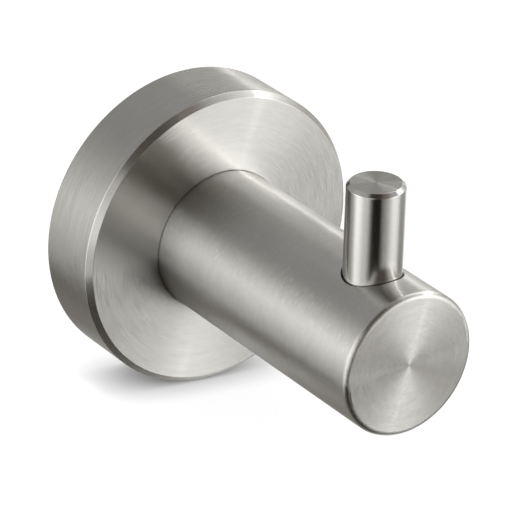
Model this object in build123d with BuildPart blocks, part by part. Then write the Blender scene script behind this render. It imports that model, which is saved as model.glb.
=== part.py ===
"""Wall-mounted robe hook: a turned rosette, a round post and an upright peg, with the fixings hidden behind.

Millimetres. The wall is the plane y = 0 and the hook stands out towards -Y, with +Z up.
The origin is on the post's axis at the wall.
"""

import os

from build123d import *

# Flange cover, a turned cup
flange_diameter = 55.0
flange_thickness = 13.0
flange_chamfer = 1.0
flange_wall = 2.5
flange_front = 4.0
flange_corner_radius = 1.0

# Post, a solid bar seated in a shallow recess of the cover
post_diameter = 26.0
post_projection = 68.0
post_edge_radius = 1.0
post_seat_depth = 0.5
post_seat_clearance = 0.15

# Peg, standing in a socket near the post's end
peg_diameter = 10.0
peg_rise = 16.0
peg_chamfer = 0.65
peg_setback = 11.0
peg_socket_depth = 4.0
peg_socket_clearance = 0.18
peg_stud_diameter = 6.0
peg_stud_length = 9.0

# Low-head socket screw from inside the cover into the post, with its split washer
screw_diameter = 6.0
screw_length = 16.0
screw_head_diameter = 10.0
screw_head_height = 4.0
screw_key_width = 4.0
screw_key_depth = 2.2
washer_thickness = 1.6
washer_outer_diameter = 11.0
washer_slit = 1.5

# Wall bracket, a disc with a vee groove round its rim
bracket_thickness = 7.0
bracket_clearance = 0.5
bracket_bore_clearance = 2.5
groove_depth = 2.0
bracket_edge_chamfer = 0.5
wall_hole_diameter = 4.5
wall_hole_sink_diameter = 9.0
wall_hole_sink_angle = 90.0

# Set screw, pointing up into the groove
set_screw_diameter = 4.0
set_screw_recess = 0.3
set_screw_tip_gap = 0.2
set_screw_key_width = 2.0
set_screw_key_depth = 1.8

# Deburred edges of the three pieces that show
edge_break = 0.15

# Allowances shared by the fixings
thread_clearance = 0.05
hole_clearance = 0.2
thread_runout = 2.0
thread_lead_in = 0.5
key_sides = 6

# Worked out from the sizes above
flange_radius = flange_diameter / 2
flange_bore_radius = flange_radius - flange_wall
cup_depth = flange_thickness - flange_front
post_radius = post_diameter / 2
post_root = flange_thickness - post_seat_depth
post_length = post_projection - post_root
peg_radius = peg_diameter / 2
peg_position = post_projection - peg_setback
peg_top = post_radius + peg_rise
peg_shoulder = post_radius - peg_socket_depth
peg_stud_end = peg_shoulder - peg_stud_length
screw_seat = cup_depth - washer_thickness
screw_tip = screw_seat + screw_length
bracket_radius = flange_bore_radius - bracket_clearance
bracket_bore_radius = screw_head_diameter / 2 + bracket_bore_clearance
groove_root_radius = bracket_radius - groove_depth
wall_hole_spacing = bracket_bore_radius + groove_root_radius
set_screw_position = bracket_thickness / 2
set_screw_radius = set_screw_diameter / 2
set_screw_tip = groove_root_radius + set_screw_tip_gap
set_screw_end = flange_radius - set_screw_recess

# Planes: depth is measured from the wall towards the end of the post
wall_plane = Plane.XZ
post_root_plane = Plane(origin=(0, -post_root, 0), x_dir=(1, 0, 0), z_dir=(0, 1, 0))
peg_plane = Plane.XZ.offset(peg_position)
peg_axis = Axis((0, -peg_position, 0), (0, 0, 1))
peg_socket_plane = Plane((0, -peg_position, post_radius))
set_screw_plane = Plane.XZ.offset(set_screw_position)
set_screw_axis = Axis((0, -set_screw_position, 0), (0, 0, 1))
cover_underside = Plane(origin=(0, -set_screw_position, -flange_radius), x_dir=(1, 0, 0), z_dir=(0, 0, -1))
set_screw_end_plane = Plane(origin=(0, -set_screw_position, -set_screw_end), x_dir=(1, 0, 0), z_dir=(0, 0, -1))

os.makedirs("parts", exist_ok=True)


def save(piece, name):
    """Labels a finished piece and writes its file."""
    piece.part.label = name
    export_step(piece.part, f"parts/{name}.step")


# Flange cover: a cup turned from bar, open to the wall
with BuildPart() as flange_cover:
    with BuildSketch(wall_plane):
        Circle(flange_radius)
    extrude(amount=flange_thickness)
    front_face = flange_cover.faces().sort_by(Axis.Y)[0]
    chamfer(front_face.edges(), length=flange_chamfer)
    fillet(flange_cover.edges().filter_by(GeomType.CIRCLE), radius=edge_break)
    with BuildSketch(wall_plane):
        Circle(flange_bore_radius)
    extrude(amount=cup_depth, mode=Mode.SUBTRACT)
    cup_floor = flange_cover.faces().filter_by(Axis.Y).sort_by(Axis.Y)[1]
    fillet(cup_floor.outer_wire().edges(), radius=flange_corner_radius)
    with BuildSketch(wall_plane.offset(flange_thickness)):
        Circle(post_radius + post_seat_clearance)
    extrude(amount=-post_seat_depth, mode=Mode.SUBTRACT)
    with Locations(wall_plane.offset(flange_thickness)):
        Hole(screw_diameter / 2 + hole_clearance, depth=flange_front)
    with Locations(cover_underside):
        Hole(set_screw_radius + thread_clearance, depth=2 * flange_wall)
save(flange_cover, "flange_cover")

# Post: a bar with a rounded end, a tapped hole at its root and the peg's stepped socket on top
with BuildPart() as post:
    with BuildSketch(wall_plane.offset(post_root)):
        Circle(post_radius)
    extrude(amount=post_length)
    end_face = post.faces().sort_by(Axis.Y)[0]
    fillet(end_face.edges(), radius=post_edge_radius)
    with Locations(post_root_plane):
        Hole(screw_diameter / 2 + thread_clearance, depth=screw_tip - post_root + thread_runout)
    with Locations(peg_socket_plane):
        CounterBoreHole(
            radius=peg_stud_diameter / 2 + thread_clearance,
            counter_bore_radius=peg_radius + peg_socket_clearance,
            counter_bore_depth=peg_socket_depth,
            depth=peg_socket_depth + peg_stud_length + thread_runout,
        )
    socket_mouth = post.edges().filter_by(GeomType.BSPLINE)
    fillet(socket_mouth, radius=edge_break)
save(post, "post")

# Peg: turned with its stud in one piece, its shoulder resting on the floor of the socket
with BuildPart() as peg:
    with BuildSketch(peg_plane):
        with BuildLine():
            Polyline(
                (0, peg_stud_end),
                (peg_stud_diameter / 2 - thread_lead_in, peg_stud_end),
                (peg_stud_diameter / 2, peg_stud_end + thread_lead_in),
                (peg_stud_diameter / 2, peg_shoulder),
                (peg_radius, peg_shoulder),
                (peg_radius, peg_top - peg_chamfer),
                (peg_radius - peg_chamfer, peg_top),
                (0, peg_top),
                close=True,
            )
        make_face()
    revolve(axis=peg_axis)
    top_edges = peg.edges().filter_by(GeomType.CIRCLE).sort_by(Axis.Z)[-2:]
    fillet(top_edges, radius=edge_break)
save(peg, "peg")

# Post screw: a low-head socket screw along the post's axis
with BuildPart() as post_screw:
    with BuildSketch(wall_plane.offset(screw_seat - screw_head_height)):
        Circle(screw_head_diameter / 2)
    extrude(amount=screw_head_height)
    with BuildSketch(wall_plane.offset(screw_seat)):
        Circle(screw_diameter / 2)
    extrude(amount=screw_length)
    tip_face = post_screw.faces().sort_by(Axis.Y)[0]
    chamfer(tip_face.edges(), length=thread_lead_in)
    with BuildSketch(wall_plane.offset(screw_seat - screw_head_height)):
        RegularPolygon(screw_key_width / 2, key_sides, major_radius=False)
    extrude(amount=screw_key_depth, mode=Mode.SUBTRACT)
save(post_screw, "post_screw")

# Lock washer: a split ring pressed flat under the screw's head
with BuildPart() as lock_washer:
    with BuildSketch(wall_plane.offset(screw_seat)):
        Circle(washer_outer_diameter / 2)
        Circle(screw_diameter / 2 + hole_clearance, mode=Mode.SUBTRACT)
        with Locations((0, washer_outer_diameter / 2)):
            Rectangle(washer_slit, washer_outer_diameter, mode=Mode.SUBTRACT)
    extrude(amount=washer_thickness)
save(lock_washer, "lock_washer")

# Wall bracket: a disc that the cover drops over, with countersunk holes for two wall screws
with BuildPart() as wall_bracket:
    with BuildSketch(Plane.XY):
        with BuildLine():
            Polyline(
                (bracket_bore_radius, 0),
                (bracket_radius, 0),
                (bracket_radius, groove_depth - set_screw_position),
                (groove_root_radius, -set_screw_position),
                (bracket_radius, -groove_depth - set_screw_position),
                (bracket_radius, bracket_edge_chamfer - bracket_thickness),
                (bracket_radius - bracket_edge_chamfer, -bracket_thickness),
                (bracket_bore_radius, -bracket_thickness),
                close=True,
            )
        make_face()
    revolve(axis=Axis.Y)
    with Locations(wall_plane.offset(bracket_thickness)):
        with GridLocations(wall_hole_spacing, 0, 2, 1):
            CounterSinkHole(
                radius=wall_hole_diameter / 2,
                counter_sink_radius=wall_hole_sink_diameter / 2,
                depth=bracket_thickness,
                counter_sink_angle=wall_hole_sink_angle,
            )
save(wall_bracket, "wall_bracket")

# Set screw: a cone-point grub screw, its socket facing down
with BuildPart() as set_screw:
    with BuildSketch(set_screw_plane):
        with BuildLine():
            Polyline(
                (0, -set_screw_tip),
                (set_screw_radius, -set_screw_tip - set_screw_radius),
                (set_screw_radius, -set_screw_end),
                (0, -set_screw_end),
                close=True,
            )
        make_face()
    revolve(axis=set_screw_axis)
    with BuildSketch(set_screw_end_plane):
        RegularPolygon(set_screw_key_width / 2, key_sides, major_radius=False)
    extrude(amount=-set_screw_key_depth, mode=Mode.SUBTRACT)
save(set_screw, "set_screw")
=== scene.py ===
"""Looks of a wall-mounted robe hook: brushed steel rosette and post, polished peg, hidden fixing parts.

Metres throughout, in the part's own frame: the wall is the plane y = 0, the post stands out
towards -Y and the peg points up along +Z.
"""

import math
from dataclasses import dataclass

import bpy
from mathutils import Matrix, Vector


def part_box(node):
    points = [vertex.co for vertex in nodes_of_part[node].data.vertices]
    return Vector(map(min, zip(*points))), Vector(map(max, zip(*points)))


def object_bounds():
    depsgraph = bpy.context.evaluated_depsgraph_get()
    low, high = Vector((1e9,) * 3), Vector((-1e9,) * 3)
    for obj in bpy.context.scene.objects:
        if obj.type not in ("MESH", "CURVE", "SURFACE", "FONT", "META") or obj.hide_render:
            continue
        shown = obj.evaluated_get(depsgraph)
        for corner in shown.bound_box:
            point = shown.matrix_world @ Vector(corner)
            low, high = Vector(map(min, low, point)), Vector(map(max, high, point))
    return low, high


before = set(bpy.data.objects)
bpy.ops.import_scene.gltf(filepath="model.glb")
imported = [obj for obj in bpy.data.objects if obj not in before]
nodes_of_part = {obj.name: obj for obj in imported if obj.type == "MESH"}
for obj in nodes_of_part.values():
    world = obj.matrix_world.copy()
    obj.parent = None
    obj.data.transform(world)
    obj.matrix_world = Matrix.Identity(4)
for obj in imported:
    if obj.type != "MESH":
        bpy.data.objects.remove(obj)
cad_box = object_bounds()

MM = 0.001


# Camera, as in the photograph

CAMERA_AZIMUTH = math.radians(-35.66)
CAMERA_ELEVATION = math.radians(26.73)
CAMERA_ROLL = math.radians(1.55)
CAMERA_DISTANCE = 637.4 * MM
CAMERA_LENS = 260.5
CAMERA_SENSOR = 36.0
CAMERA_CLIP = 10 * MM
AIM_POINT = Vector((0, -30 * MM, 0))
AIM_RIGHT = -3.57 * MM
AIM_UP = 3.46 * MM


def direction(azimuth, elevation):
    """Unit vector towards an azimuth (0 in front of the hook, positive to its right) and an elevation."""
    level = math.cos(elevation)
    return Vector((math.sin(azimuth) * level, -math.cos(azimuth) * level, math.sin(elevation)))


def add_camera():
    back = direction(CAMERA_AZIMUTH, CAMERA_ELEVATION)
    right = Vector((math.cos(CAMERA_AZIMUTH), math.sin(CAMERA_AZIMUTH), 0))
    up = back.cross(right)
    aim = AIM_POINT + AIM_RIGHT * right + AIM_UP * up
    rolled_right = math.cos(CAMERA_ROLL) * right + math.sin(CAMERA_ROLL) * up
    rolled_up = math.cos(CAMERA_ROLL) * up - math.sin(CAMERA_ROLL) * right
    turn = Matrix((rolled_right, rolled_up, back)).transposed().to_4x4()
    data = bpy.data.cameras.new("camera")
    data.lens = CAMERA_LENS
    data.sensor_width = CAMERA_SENSOR
    data.clip_start = CAMERA_CLIP
    camera = bpy.data.objects.new("camera", data)
    camera.matrix_world = Matrix.Translation(aim + CAMERA_DISTANCE * back) @ turn
    bpy.context.scene.collection.objects.link(camera)
    bpy.context.scene.camera = camera


# Node helpers

def new_material(name):
    material = bpy.data.materials.new(name)
    material.use_nodes = True
    material.node_tree.nodes.clear()
    return material, material.node_tree


def set_surface(tree, shader):
    output = tree.nodes.new("ShaderNodeOutputMaterial")
    tree.links.new(shader, output.inputs["Surface"])


def link(tree, value, socket):
    """Puts a number, a colour or another node's output into a socket."""
    if isinstance(value, bpy.types.NodeSocket):
        tree.links.new(value, socket)
    else:
        socket.default_value = value


def math_node(tree, operation, first, second=0.0):
    node = tree.nodes.new("ShaderNodeMath")
    node.operation = operation
    link(tree, first, node.inputs[0])
    link(tree, second, node.inputs[1])
    return node.outputs[0]


def average(tree, first, second):
    return math_node(tree, "MULTIPLY", math_node(tree, "ADD", first, second), 0.5)


def vector_node(tree, operation, first, second=None, scale=None):
    node = tree.nodes.new("ShaderNodeVectorMath")
    node.operation = operation
    link(tree, first, node.inputs[0])
    if second is not None:
        link(tree, second, node.inputs[1])
    if scale is not None:
        link(tree, scale, node.inputs["Scale"])
    gives_number = operation in ("LENGTH", "DOT_PRODUCT")
    return node.outputs["Value" if gives_number else "Vector"]


def ramp(tree, value, source, result=(0.0, 1.0)):
    """Maps a value smoothly from one range to another."""
    node = tree.nodes.new("ShaderNodeMapRange")
    node.interpolation_type = "SMOOTHSTEP"
    link(tree, value, node.inputs["Value"])
    for socket, number in zip(("From Min", "From Max", "To Min", "To Max"), source + result):
        node.inputs[socket].default_value = number
    return node.outputs["Result"]


def noise(tree, vector, w, detail, roughness):
    node = tree.nodes.new("ShaderNodeTexNoise")
    node.noise_dimensions = "4D"
    node.inputs["Scale"].default_value = 1.0
    node.inputs["Detail"].default_value = detail
    node.inputs["Roughness"].default_value = roughness
    link(tree, vector, node.inputs["Vector"])
    link(tree, w, node.inputs["W"])
    return node.outputs["Fac"]


def mix_number(tree, factor, first, second):
    node = tree.nodes.new("ShaderNodeMix")
    node.data_type = "FLOAT"
    link(tree, factor, node.inputs[0])
    link(tree, first, node.inputs[2])
    link(tree, second, node.inputs[3])
    return node.outputs[0]


def mix_colour(tree, factor, first, second):
    node = tree.nodes.new("ShaderNodeMix")
    node.data_type = "RGBA"
    link(tree, factor, node.inputs[0])
    link(tree, first, node.inputs[6])
    link(tree, second, node.inputs[7])
    return node.outputs[2]


def shaded(colour, share):
    """A colour made darker or brighter by a share, as a node colour."""
    return [value * share for value in colour] + [1.0]


# Streaks and patches of a turned piece

PATCH_SIZE = 7 * MM
PATCH_DETAIL = 2.0
PATCH_ROUGHNESS = 0.5


@dataclass
class Streaks:
    """One layer of streaks in the brushing."""
    width: float             # size across the streaks, in grains
    turns: float             # how often they change on the way round
    detail: float = 3.0      # how many finer layers of noise are in them
    roughness: float = 0.6   # how strong those finer layers are


FINE_STREAKS = Streaks(width=1.0, turns=9.0)
BROAD_STREAKS = Streaks(width=5.0, turns=3.0)
SWAYING_STREAKS = Streaks(width=2.0, turns=6.0, detail=4.0, roughness=0.7)
NICK_STREAKS = Streaks(width=1.2, turns=12.0, detail=1.0)


class Lathe:
    """Coordinates round a turned piece's axis: distance from the axis, place along it and way round."""

    def __init__(self, tree, axis, centre):
        self.tree = tree
        self.axis = axis
        self.axis_vector = [1.0 if name == axis else 0.0 for name in "XYZ"]
        across = [1.0 - value for value in self.axis_vector]
        place = tree.nodes.new("ShaderNodeTexCoord").outputs["Object"]
        self.place = vector_node(tree, "SUBTRACT", place, centre)
        split = tree.nodes.new("ShaderNodeSeparateXYZ")
        link(tree, self.place, split.inputs[0])
        self.along = split.outputs[axis]
        spoke = vector_node(tree, "MULTIPLY", self.place, across)
        self.radius = vector_node(tree, "LENGTH", spoke)
        self.way_round = vector_node(tree, "NORMALIZE", spoke)

    def streaks(self, layer, grain):
        """Noise in rings round the axis, for one layer of streaks."""
        width = layer.width * grain
        around = vector_node(self.tree, "SCALE", self.way_round, scale=layer.turns)
        rings = math_node(self.tree, "DIVIDE", self.radius, width)
        outward = vector_node(self.tree, "SCALE", self.axis_vector, scale=rings)
        vector = vector_node(self.tree, "ADD", around, outward)
        w = math_node(self.tree, "DIVIDE", self.along, width)
        return noise(self.tree, vector, w, layer.detail, layer.roughness)

    def patches(self):
        """Even noise in soft patches."""
        vector = vector_node(self.tree, "SCALE", self.place, scale=1.0 / PATCH_SIZE)
        return noise(self.tree, vector, 0.0, PATCH_DETAIL, PATCH_ROUGHNESS)

    def facing(self):
        """1 on faces square to the axis, 0 on the round side, in between on chamfers and rounded edges."""
        normal = self.tree.nodes.new("ShaderNodeNewGeometry").outputs["Normal"]
        along_axis = vector_node(self.tree, "DOT_PRODUCT", normal, self.axis_vector)
        return math_node(self.tree, "ABSOLUTE", along_axis)

    def tangent(self):
        node = self.tree.nodes.new("ShaderNodeTangent")
        node.direction_type = "RADIAL"
        node.axis = self.axis
        return node.outputs[0]


# Brushed metal

ACROSS_THE_BRUSHING = 0.25
CRISP_BRUSHING = 0.8
CRISP_ROUGHNESS = 0.8
# painted sheen on chamfers and worn edges: their colour is drawn a little brighter
PAINTED_EDGE_SHEEN = 1.04
NICK_DEPTH = 0.6
NOISE_MIDDLE = 0.5

# Ranges of the noise, or of how square a face is to the axis, over which each effect comes in
STREAK_RANGE = (0.36, 0.64)
NICK_RANGE = (0.6, 0.72)
EDGE_RANGE = (0.2, 0.5)
END_RANGE = (0.9, 0.98)
WEAR_RANGE = (0.7, 1.3)
WEAR_SHARES = (0.94, 1.06)


@dataclass
class Finish:
    """How one piece is finished."""
    axis: str                # the axis it was turned and brushed round
    colour: tuple            # the metal's middle colour
    roughness: float         # of its round side
    end_roughness: float     # of its faces square to the axis
    edge_roughness: float    # of its chamfers and deburred edges, worn smooth
    brushing: float          # how much rougher it is across the brushing than along it
    contrast: float          # how far the streaks' colour strays from the middle
    grain: float             # width of the finest streaks
    sway: float              # how far the streaks tilt along their own direction
    nick_tilt: float         # how far the sparse short scratches tilt
    # painted glint: how much brighter the short scratches are drawn, as if they caught the light
    painted_nick_glint: float        # how much brighter than the rest they are
    scratch_depth: float
    crispness: float = 0.0   # share of the reflection that is sharpest along the brushing


def end_and_edge_masks(tree, lathe):
    """One mask that is 1 on faces square to the axis, and one that is 1 on chamfers and rounded edges."""
    facing = lathe.facing()
    end_mask = ramp(tree, facing, END_RANGE)
    off_the_side = ramp(tree, facing, EDGE_RANGE)
    off_the_end = math_node(tree, "SUBTRACT", 1.0, end_mask)
    return end_mask, math_node(tree, "MULTIPLY", off_the_side, off_the_end)


def metal_colour(tree, finish, streaks, nick_mask, edge_mask):
    dark = shaded(finish.colour, 1 - finish.contrast)
    bright = shaded(finish.colour, 1 + finish.contrast)
    colour = mix_colour(tree, ramp(tree, streaks, STREAK_RANGE), dark, bright)
    # Painted glint: the short scratches are drawn brighter than the rest, as if they caught the light.
    colour = mix_colour(tree, nick_mask, colour, shaded(finish.colour, 1 + finish.painted_nick_glint))
    # Painted sheen: chamfers and worn edges are drawn a little brighter, as if polished to a shine; their
    # lower roughness is real.
    return mix_colour(tree, edge_mask, colour, shaded(finish.colour, PAINTED_EDGE_SHEEN))


def metal_roughness(tree, finish, streaks, patches, end_mask, edge_mask):
    rough = mix_number(tree, end_mask, finish.roughness, finish.end_roughness)
    rough = mix_number(tree, edge_mask, rough, finish.edge_roughness)
    wear = math_node(tree, "ADD", streaks, patches)
    return math_node(tree, "MULTIPLY", rough, ramp(tree, wear, WEAR_RANGE, WEAR_SHARES))


def metal_normal(tree, finish, streaks, sway, nicks, nick_mask, tangent):
    """The surface's direction: fine grooves, tilted a little along the brushing."""
    bump = tree.nodes.new("ShaderNodeBump")
    bump.inputs["Strength"].default_value = 1.0
    bump.inputs["Distance"].default_value = finish.scratch_depth
    height = math_node(tree, "SUBTRACT", streaks, math_node(tree, "MULTIPLY", nick_mask, NICK_DEPTH))
    link(tree, height, bump.inputs["Height"])
    nick = math_node(tree, "SUBTRACT", nicks, NOISE_MIDDLE)
    nick_cubed = math_node(tree, "MULTIPLY", nick, math_node(tree, "MULTIPLY", nick, nick))
    nick_tilt = math_node(tree, "MULTIPLY", nick_cubed, finish.nick_tilt)
    streak_tilt = math_node(tree, "MULTIPLY", math_node(tree, "SUBTRACT", sway, NOISE_MIDDLE), finish.sway)
    tilt = math_node(tree, "ADD", streak_tilt, nick_tilt)
    swayed = vector_node(tree, "ADD", bump.outputs[0], vector_node(tree, "SCALE", tangent, scale=tilt))
    return vector_node(tree, "NORMALIZE", swayed)


def add_crisp_brushing(tree, surface, share, colour, rough, normal, tangent):
    """Mixes in a reflection that is much sharper along the brushing than across it."""
    crisp = tree.nodes.new("ShaderNodeBsdfAnisotropic")
    crisp.inputs["Anisotropy"].default_value = CRISP_BRUSHING
    link(tree, colour, crisp.inputs["Color"])
    link(tree, math_node(tree, "MULTIPLY", rough, CRISP_ROUGHNESS), crisp.inputs["Roughness"])
    link(tree, normal, crisp.inputs["Normal"])
    link(tree, tangent, crisp.inputs["Tangent"])
    both = tree.nodes.new("ShaderNodeMixShader")
    both.inputs[0].default_value = share
    tree.links.new(surface, both.inputs[1])
    tree.links.new(crisp.outputs[0], both.inputs[2])
    return both.outputs[0]


def brushed_metal(name, centre, finish):
    """Metal turned or brushed round an axis, with streaks, short scratches painted brighter as a glint,
    and edges worn smooth with a painted sheen.
    """
    material, tree = new_material(name)
    lathe = Lathe(tree, finish.axis, centre)
    fine = lathe.streaks(FINE_STREAKS, finish.grain)
    broad = lathe.streaks(BROAD_STREAKS, finish.grain)
    streaks = average(tree, fine, broad)
    sway = lathe.streaks(SWAYING_STREAKS, finish.grain)
    nicks = lathe.streaks(NICK_STREAKS, finish.grain)
    nick_mask = ramp(tree, nicks, NICK_RANGE)
    end_mask, edge_mask = end_and_edge_masks(tree, lathe)
    tangent = lathe.tangent()
    colour = metal_colour(tree, finish, streaks, nick_mask, edge_mask)
    rough = metal_roughness(tree, finish, streaks, lathe.patches(), end_mask, edge_mask)
    normal = metal_normal(tree, finish, streaks, sway, nicks, nick_mask, tangent)

    shader = tree.nodes.new("ShaderNodeBsdfPrincipled")
    shader.inputs["Metallic"].default_value = 1.0
    shader.inputs["Anisotropic"].default_value = finish.brushing
    shader.inputs["Anisotropic Rotation"].default_value = ACROSS_THE_BRUSHING
    link(tree, colour, shader.inputs["Base Color"])
    link(tree, rough, shader.inputs["Roughness"])
    link(tree, normal, shader.inputs["Normal"])
    link(tree, tangent, shader.inputs["Tangent"])
    surface = shader.outputs[0]
    if finish.crispness > 0:
        surface = add_crisp_brushing(tree, surface, finish.crispness, colour, rough, normal, tangent)
    set_surface(tree, surface)
    return material


# Finishes

STEEL = (0.627, 0.619, 0.586)
SCREW_STEEL = (0.50, 0.50, 0.50)
SPRING_STEEL = (0.36, 0.36, 0.37)
ZINC = (0.60, 0.61, 0.63)
SQUARE_TO_AXIS = 0.9999

SATIN = Finish(
    axis="Y", colour=STEEL, roughness=0.30, end_roughness=0.30, edge_roughness=0.24,
    brushing=1.0, crispness=0.8, contrast=0.03, grain=0.18 * MM, sway=0.09,
    nick_tilt=0.6, painted_nick_glint=0.08, scratch_depth=0.002 * MM,
)
SATIN_POST = Finish(
    axis="Y", colour=STEEL, roughness=0.30, end_roughness=0.30, edge_roughness=0.25,
    brushing=1.0, crispness=0.5, contrast=0.03, grain=0.15 * MM, sway=0.14,
    nick_tilt=5.0, painted_nick_glint=0.2, scratch_depth=0.002 * MM,
)
POLISHED = Finish(
    axis="Z", colour=STEEL, roughness=0.19, end_roughness=0.30, edge_roughness=0.20,
    brushing=0.55, contrast=0.01, grain=0.15 * MM, sway=0.03,
    nick_tilt=0.0, painted_nick_glint=0.0, scratch_depth=0.0003 * MM,
)
PEG_END = Finish(
    axis="Z", colour=STEEL, roughness=0.30, end_roughness=0.30, edge_roughness=0.24,
    brushing=0.97, contrast=0.03, grain=0.12 * MM, sway=0.1,
    nick_tilt=1.0, painted_nick_glint=0.05, scratch_depth=0.002 * MM,
)
POST_END = Finish(
    axis="Y", colour=STEEL, roughness=0.30, end_roughness=0.30, edge_roughness=0.24,
    brushing=1.0, crispness=0.85, contrast=0.06, grain=0.17 * MM, sway=0.03,
    nick_tilt=0.3, painted_nick_glint=0.1, scratch_depth=0.002 * MM,
)
MACHINED = Finish(
    axis="Y", colour=SCREW_STEEL, roughness=0.32, end_roughness=0.32, edge_roughness=0.28,
    brushing=0.8, contrast=0.08, grain=0.25 * MM, sway=0.1,
    nick_tilt=3.0, painted_nick_glint=0.2, scratch_depth=0.002 * MM,
)
MACHINED_UPRIGHT = Finish(
    axis="Z", colour=SCREW_STEEL, roughness=0.32, end_roughness=0.32, edge_roughness=0.28,
    brushing=0.6, contrast=0.08, grain=0.2 * MM, sway=0.1,
    nick_tilt=3.0, painted_nick_glint=0.2, scratch_depth=0.002 * MM,
)
DULL = Finish(
    axis="Y", colour=SPRING_STEEL, roughness=0.42, end_roughness=0.42, edge_roughness=0.36,
    brushing=0.5, contrast=0.16, grain=0.3 * MM, sway=0.1,
    nick_tilt=3.0, painted_nick_glint=0.2, scratch_depth=0.003 * MM,
)
PLATED = Finish(
    axis="Y", colour=ZINC, roughness=0.55, end_roughness=0.55, edge_roughness=0.45,
    brushing=0.3, contrast=0.08, grain=0.3 * MM, sway=0.12,
    nick_tilt=4.0, painted_nick_glint=0.25, scratch_depth=0.003 * MM,
)

FINISHES = {
    "flange_cover": SATIN,
    "post": SATIN_POST,
    "peg": POLISHED,
    "post_screw": MACHINED,
    "lock_washer": DULL,
    "wall_bracket": PLATED,
    "set_screw": MACHINED_UPRIGHT,
}
END_FINISHES = {
    "peg": PEG_END,
    "post": POST_END,
}


def middle(node):
    low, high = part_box(node)
    return (low + high) / 2


def dress(node, finish):
    slots = nodes_of_part[node].data.materials
    slots.clear()
    slots.append(brushed_metal(node + "_finish", middle(node), finish))


def dress_ends(node, finish):
    """Gives the faces square to the finish's axis a material of their own."""
    mesh = nodes_of_part[node].data
    place = len(mesh.materials)
    mesh.materials.append(brushed_metal(node + "_end_finish", middle(node), finish))
    for face in mesh.polygons:
        if abs(face.normal["XYZ".index(finish.axis)]) > SQUARE_TO_AXIS:
            face.material_index = place


def dress_part():
    for node, finish in FINISHES.items():
        dress(node, finish)
    for node, finish in END_FINISHES.items():
        dress_ends(node, finish)


# World and floor

WHITE = (1.0, 1.0, 1.0, 1.0)
WORLD_STRENGTH = 1.0
FLOOR_SIZE = 6.0
FLOOR_COLOUR = 0.18
FLOOR_WHITE = 0.9
FLOOR_SLOPE = math.radians(-3)
FLOOR_TILT = math.radians(6)
FLOOR_DROP = 0.7 * MM
CONTACT_REACH = 7 * MM
CONTACT_DARKNESS = 0.62


def add_world():
    world = bpy.data.worlds.new("studio")
    world.use_nodes = True
    background = world.node_tree.nodes["Background"]
    background.inputs["Color"].default_value = WHITE
    background.inputs["Strength"].default_value = WORLD_STRENGTH
    bpy.context.scene.world = world


def floor_material():
    """Pale paper that looks white, with a painted contact shadow: its colour and glow are darker close to
    what stands on it.
    """
    material, tree = new_material("floor_paper")
    contact = tree.nodes.new("ShaderNodeAmbientOcclusion")
    contact.inputs["Distance"].default_value = CONTACT_REACH
    # Painted contact shadow: ambient occlusion darkens the paper's colour and its white glow close to the
    # hook.
    unshadowed_share = math_node(tree, "POWER", contact.outputs["AO"], CONTACT_DARKNESS)
    paper = tree.nodes.new("ShaderNodeBsdfDiffuse")
    link(tree, math_node(tree, "MULTIPLY", unshadowed_share, FLOOR_COLOUR), paper.inputs["Color"])
    path = tree.nodes.new("ShaderNodeLightPath")
    seen = math_node(tree, "MAXIMUM", path.outputs["Is Camera Ray"], path.outputs["Is Glossy Ray"])
    seen = math_node(tree, "MAXIMUM", seen, path.outputs["Is Transmission Ray"])
    glow = math_node(tree, "MULTIPLY", unshadowed_share, FLOOR_WHITE)
    white = tree.nodes.new("ShaderNodeEmission")
    link(tree, math_node(tree, "MULTIPLY", seen, glow), white.inputs["Strength"])
    both = tree.nodes.new("ShaderNodeAddShader")
    tree.links.new(paper.outputs[0], both.inputs[0])
    tree.links.new(white.outputs[0], both.inputs[1])
    set_surface(tree, both.outputs[0])
    return material


def add_floor():
    """The floor rises a little to the left and to the front, so the contact shadow is wider there."""
    half = FLOOR_SIZE / 2
    corners = [(-half, -half, 0), (half, -half, 0), (half, half, 0), (-half, half, 0)]
    mesh = bpy.data.meshes.new("floor")
    mesh.from_pydata(corners, [], [(0, 1, 2, 3)])
    mesh.materials.append(floor_material())
    floor = bpy.data.objects.new("floor", mesh)
    upward = Vector((math.sin(FLOOR_TILT), 0, math.cos(FLOOR_TILT)))
    floor.location = upward * (cad_box[0][2] - FLOOR_DROP)
    floor.rotation_euler = (FLOOR_SLOPE, FLOOR_TILT, 0)
    floor.visible_glossy = False
    bpy.context.scene.collection.objects.link(floor)


# Studio cards

CREAM = (1.05, 1.0, 0.95, 1.0)
BROWN = (1.18, 1.0, 0.82, 1.0)
ALL_ROUND = 200
STUDIO_RADIUS = 3.0
CARD_SPACING = 0.05
CARD_STEP = math.radians(2)
LEFT_RADIUS = 170 * MM
LOW_RADIUS = 120 * MM
UNDER_RADIUS = 78 * MM


@dataclass
class CardPlan:
    """A curved card round the hook, which only reflections see: a softbox or a dark panel.

    Its centre, half size and softness are each an angle round the hook and an angle up, in degrees.
    """
    name: str
    centre: tuple
    half_size: tuple
    softness: tuple          # how wide its faded edge is
    colour: tuple
    level: float             # how bright it is


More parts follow.
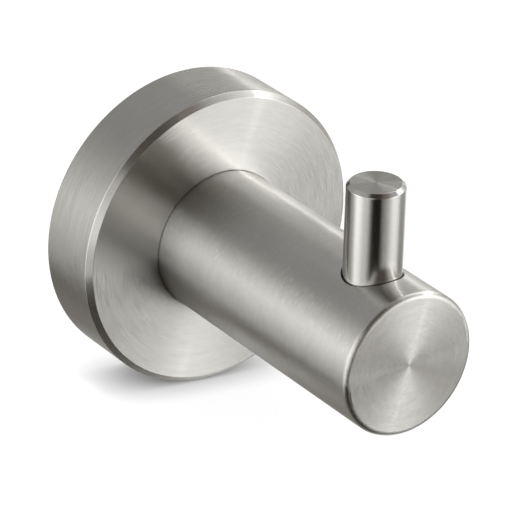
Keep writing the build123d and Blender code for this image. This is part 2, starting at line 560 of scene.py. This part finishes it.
# Dark panels first, the softboxes in front of them
FAR_CARDS = (
    CardPlan("rear_panel", (184, 19), (59, 64), (19, 20), CREAM, 0.36),
    CardPlan("top_panel", (0, 70), (ALL_ROUND, 43), (30, 35), WHITE, 0.43),
    CardPlan("bottom_panel", (0, -74), (ALL_ROUND, 36), (30, 24), CREAM, 0.35),
    CardPlan("front_panel", (0, 24), (34, 48), (24, 17), BROWN, 0.15),
    CardPlan("front_top_panel", (-34, 58), (38, 21), (21, 15), BROWN, 0.03),
    CardPlan("front_mid_panel", (-27, 30), (11, 12), (10, 12), BROWN, 0.08),
    CardPlan("under_panel", (-8, -61), (76, 32), (34, 11), BROWN, 0.03),
    CardPlan("front_low_panel", (-32, -29), (24, 18), (26, 12), BROWN, 0.01),
    CardPlan("front_left_panel", (-31, 0), (12, 18), (8, 10), BROWN, 0.03),
    CardPlan("left_rear_panel", (-182, -15), (35, 26), (14, 15), BROWN, 0.01),
    CardPlan("right_low_panel", (89, -39), (23, 16), (24, 20), BROWN, 0.09),
    CardPlan("right_panel", (92, 0), (23, 14), (13, 16), CREAM, 0.5),
    CardPlan("rear_low_softbox", (137, -44), (17, 15), (15, 17), WHITE, 1.05),
    CardPlan("left_strip", (-66, 2), (8, 12), (12, 14), WHITE, 1.1),
    CardPlan("front_strip", (37.5, -2.5), (19, 19.5), (34, 22), WHITE, 2.3),
    CardPlan("right_softbox", (91, 48), (11, 23), (17, 14), WHITE, 3.1),
    CardPlan("right_rear_softbox", (118, 18), (10, 4), (14, 9), WHITE, 1.9),
    CardPlan("key_light", (71, 30.6), (2.2, 2.2), (2, 2), WHITE, 46.0),
)

# Softboxes so close that each piece sees them from another side, with how far off they stand
NEAR_CARDS = (
    (CardPlan("left_softbox", (-89.5, 11), (19, 20), (33, 62), WHITE, 2.62), LEFT_RADIUS),
    (CardPlan("low_softbox", (31.5, -55), (12, 8), (16, 10), WHITE, 0.9), LOW_RADIUS),
    (CardPlan("under_softbox", (-170, -68), (50, 10), (40, 16), WHITE, 0.8), UNDER_RADIUS),
)


def card_material(plan):
    """A card that glows at its level, softly cut out along its edges by the mesh's cover values."""
    material, tree = new_material(plan.name)
    cover = tree.nodes.new("ShaderNodeAttribute")
    cover.attribute_name = "cover"
    glow = tree.nodes.new("ShaderNodeEmission")
    glow.inputs["Color"].default_value = plan.colour
    glow.inputs["Strength"].default_value = plan.level
    clear = tree.nodes.new("ShaderNodeBsdfTransparent")
    blend = tree.nodes.new("ShaderNodeMixShader")
    tree.links.new(cover.outputs["Fac"], blend.inputs[0])
    tree.links.new(clear.outputs[0], blend.inputs[1])
    tree.links.new(glow.outputs[0], blend.inputs[2])
    set_surface(tree, blend.outputs[0])
    return material


def edge_cover(offset, half, softness):
    """1 inside a card's half width, 0 outside, smooth over its soft edge."""
    share = min(max((half - abs(offset)) / softness + 0.5, 0.0), 1.0)
    return share * share * (3 - 2 * share)


def steps(low, high):
    """Evenly spaced angles from low to high, no further apart than a card's step."""
    count = math.ceil((high - low) / CARD_STEP)
    return [low + (high - low) * place / count for place in range(count + 1)]


def card_mesh(plan, radius):
    """A patch of a sphere, with how far each point is covered kept on it."""
    azimuth, elevation = (math.radians(angle) for angle in plan.centre)
    half_width, half_height = (math.radians(angle) for angle in plan.half_size)
    soft_across, soft_up = (math.radians(angle) for angle in plan.softness)
    reach_across = min(half_width + soft_across / 2, math.pi)
    lowest = max(elevation - half_height - soft_up / 2, -math.pi / 2)
    highest = min(elevation + half_height + soft_up / 2, math.pi / 2)
    swings = steps(-reach_across, reach_across)
    tilts = steps(lowest, highest)
    points = []
    cover = []
    for tilt in tilts:
        for swing in swings:
            points.append(radius * direction(azimuth + swing, tilt))
            across = edge_cover(swing, half_width, soft_across)
            cover.append(across * edge_cover(tilt - elevation, half_height, soft_up))
    wide = len(swings)
    faces = []
    for row in range(len(tilts) - 1):
        for column in range(wide - 1):
            first = row * wide + column
            faces.append((first, first + 1, first + wide + 1, first + wide))
    mesh = bpy.data.meshes.new(plan.name)
    mesh.from_pydata(points, [], faces)
    mesh.attributes.new("cover", "FLOAT", "POINT").data.foreach_set("value", cover)
    return mesh


def add_card(plan, radius):
    mesh = card_mesh(plan, radius)
    mesh.materials.append(card_material(plan))
    card = bpy.data.objects.new(plan.name, mesh)
    card.visible_camera = False
    card.visible_diffuse = False
    card.visible_shadow = False
    bpy.context.scene.collection.objects.link(card)


def add_studio():
    for place, plan in enumerate(FAR_CARDS):
        add_card(plan, STUDIO_RADIUS - CARD_SPACING * place)
    for plan, radius in NEAR_CARDS:
        add_card(plan, radius)


bpy.context.scene.view_settings.view_transform = "Standard"
add_camera()
add_world()
add_floor()
add_studio()
dress_part()
